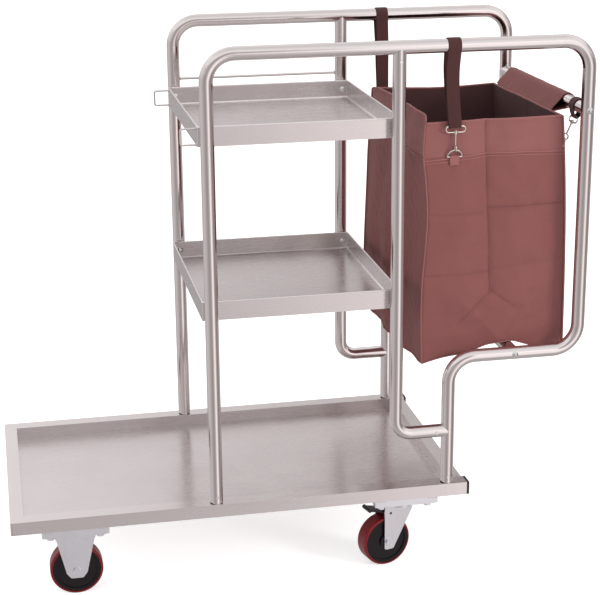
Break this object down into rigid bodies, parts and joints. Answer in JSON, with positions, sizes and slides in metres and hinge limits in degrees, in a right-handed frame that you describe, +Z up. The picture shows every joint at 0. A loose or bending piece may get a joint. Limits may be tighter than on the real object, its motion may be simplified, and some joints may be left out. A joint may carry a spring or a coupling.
{
  "type": "linen trolley",
  "caption": "Tubular steel hospital linen trolley: low deck with raised rails, two hung trays, cloth linen bag held by straps and snap hooks, fixed and swivel casters.",
  "frame": {"origin": "on the ground, under the middle of the whole trolley", "axes": "+X along the trolley towards the linen bag, +Y across it towards the side with the guard rod, +Z up"},
  "size_m": [1.1023, 0.5014, 1.0293],
  "materials": {
    "rail_steel": "satin stainless steel",
    "deck_steel": "brushed stainless steel",
    "tray_steel": "brushed stainless steel",
    "tube_steel": "polished stainless steel",
    "zinc_steel": "bright zinc plated steel",
    "bolt_steel": "plain stainless steel",
    "plug_plastic": "plain nylon",
    "cap_plastic": "black moulded plastic",
    "pedal_plastic": "black moulded plastic",
    "wheel_plastic": "black moulded plastic",
    "tread_rubber": "dark red polyurethane",
    "bag_cloth": "maroon brown woven cloth",
    "strap_cloth": "dark brown webbing",
    "hook_metal": "nickel plated"
  },
  "bodies": {
    "trolley": {"base_side_rail_near": "rail_steel", "base_side_rail_far": "rail_steel", "base_cross_rail_left": "rail_steel", "base_cross_rail_right": "rail_steel", "base_deck": "deck_steel", "top_tray": "tray_steel", "middle_tray": "tray_steel", "side_frame_near": "tube_steel", "side_frame_far": "tube_steel", "j_post_near": "tube_steel", "j_post_far": "tube_steel", "upper_crossbar": "tube_steel", "lower_crossbar": "tube_steel", "guard_rod": "tube_steel", "tray_hoops": "tube_steel", "caster_brackets": "zinc_steel", "caster_bolts": "zinc_steel", "caster_nuts": "zinc_steel", "fixed_fork_near": "zinc_steel", "fixed_fork_far": "zinc_steel", "fixed_axles": "zinc_steel", "swivel_top_plates": "zinc_steel", "swivel_kingpins": "zinc_steel", "swivel_balls": "zinc_steel", "foot_bolts": "bolt_steel", "frame_screws": "bolt_steel", "tray_bolts": "bolt_steel", "tray_spacers": "bolt_steel", "crossbar_bolts": "bolt_steel", "tube_plugs": "plug_plastic", "rail_end_caps": "cap_plastic", "linen_bag": "bag_cloth", "strap_near": "strap_cloth", "strap_far": "strap_cloth", "strap_side": "strap_cloth", "hook_eyes": "hook_metal"},
    "wheel_fixed_near": {"wheel_core_fixed_near": "wheel_plastic", "wheel_tread_fixed_near": "tread_rubber"},
    "swivel_near": {"swivel_fork_near": "zinc_steel", "swivel_axle_near": "zinc_steel"},
    "wheel_swivel_near": {"wheel_core_swivel_near": "wheel_plastic", "wheel_tread_swivel_near": "tread_rubber"},
    "pedal_near": {"brake_pedal_near": "pedal_plastic"},
    "wheel_fixed_far": {"wheel_core_fixed_far": "wheel_plastic", "wheel_tread_fixed_far": "tread_rubber"},
    "swivel_far": {"swivel_fork_far": "zinc_steel", "swivel_axle_far": "zinc_steel"},
    "wheel_swivel_far": {"wheel_core_swivel_far": "wheel_plastic", "wheel_tread_swivel_far": "tread_rubber"},
    "pedal_far": {"brake_pedal_far": "pedal_plastic"},
    "hook_near": {"snap_hook_near": "hook_metal"},
    "gate_near": {"snap_gate_near": "hook_metal"},
    "ring_near": {"d_ring_near": "hook_metal"},
    "hook_far": {"snap_hook_far": "hook_metal"},
    "gate_far": {"snap_gate_far": "hook_metal"},
    "ring_far": {"d_ring_far": "hook_metal"},
    "hook_side": {"snap_hook_side": "hook_metal"},
    "gate_side": {"snap_gate_side": "hook_metal"},
    "ring_side": {"d_ring_side": "hook_metal"}
  },
  "joints": [
    {"name": "wheel_fixed_near_spin", "type": "hinge", "parent": "trolley", "child": "wheel_fixed_near", "pos_m": [-0.432, -0.195, 0.05], "axis": [0, 1, 0], "continuous": true},
    {"name": "swivel_near_turn", "type": "hinge", "parent": "trolley", "child": "swivel_near", "pos_m": [0.2, -0.195, 0.124], "axis": [0, 0, 1], "continuous": true},
    {"name": "wheel_swivel_near_spin", "type": "hinge", "parent": "swivel_near", "child": "wheel_swivel_near", "pos_m": [0.16619, -0.20406, 0.05], "axis": [-0.2588, 0.9659, 0], "continuous": true},
    {"name": "pedal_near_press", "type": "hinge", "parent": "swivel_near", "child": "pedal_near", "pos_m": [0.17102, -0.20276, 0.11], "axis": [0.2588, -0.9659, 0], "range_deg": [0, 25]},
    {"name": "wheel_fixed_far_spin", "type": "hinge", "parent": "trolley", "child": "wheel_fixed_far", "pos_m": [-0.432, 0.195, 0.05], "axis": [0, 1, 0], "continuous": true},
    {"name": "swivel_far_turn", "type": "hinge", "parent": "trolley", "child": "swivel_far", "pos_m": [0.2, 0.195, 0.124], "axis": [0, 0, 1], "continuous": true},
    {"name": "wheel_swivel_far_spin", "type": "hinge", "parent": "swivel_far", "child": "wheel_swivel_far", "pos_m": [0.16803, 0.20924, 0.05], "axis": [0.4067, 0.9135, 0], "continuous": true},
    {"name": "pedal_far_press", "type": "hinge", "parent": "swivel_far", "child": "pedal_far", "pos_m": [0.17259, 0.2072, 0.11], "axis": [-0.4067, -0.9135, 0], "range_deg": [0, 25]},
    {"name": "hook_near_turn", "type": "hinge", "parent": "trolley", "child": "hook_near", "pos_m": [0.295, -0.2085, 0.858], "axis": [0, 0, 1], "range_deg": [-30, 30]},
    {"name": "gate_near_open", "type": "hinge", "parent": "hook_near", "child": "gate_near", "pos_m": [0.295, -0.20585, 0.8277], "axis": [-1, 0, 0], "range_deg": [0, 20], "stiffness_Nm_per_rad": 0.01},
    {"name": "ring_near_tilt", "type": "hinge", "parent": "trolley", "child": "ring_near", "pos_m": [0.295, -0.204, 0.80604], "axis": [1, 0, 0], "range_deg": [-3, 1.5]},
    {"name": "hook_far_turn", "type": "hinge", "parent": "trolley", "child": "hook_far", "pos_m": [0.264, 0.2085, 0.858], "axis": [0, 0, 1], "range_deg": [-30, 30]},
    {"name": "gate_far_open", "type": "hinge", "parent": "hook_far", "child": "gate_far", "pos_m": [0.264, 0.20585, 0.8277], "axis": [1, 0, 0], "range_deg": [0, 20], "stiffness_Nm_per_rad": 0.01},
    {"name": "ring_far_tilt", "type": "hinge", "parent": "trolley", "child": "ring_far", "pos_m": [0.264, 0.204, 0.80604], "axis": [-1, 0, 0], "range_deg": [-3, 1.5]},
    {"name": "hook_side_turn", "type": "hinge", "parent": "trolley", "child": "hook_side", "pos_m": [0.53, -0.186, 0.862], "axis": [0.4226, 0, 0.9063], "range_deg": [-30, 30]},
    {"name": "gate_side_open", "type": "hinge", "parent": "hook_side", "child": "gate_side", "pos_m": [0.51479, -0.186, 0.83566], "axis": [0, -1, 0], "range_deg": [0, 20], "stiffness_Nm_per_rad": 0.01},
    {"name": "ring_side_tilt", "type": "hinge", "parent": "trolley", "child": "ring_side", "pos_m": [0.506, -0.186, 0.8153], "axis": [0, 1, 0], "range_deg": [-3, 1.5]}
  ]
}
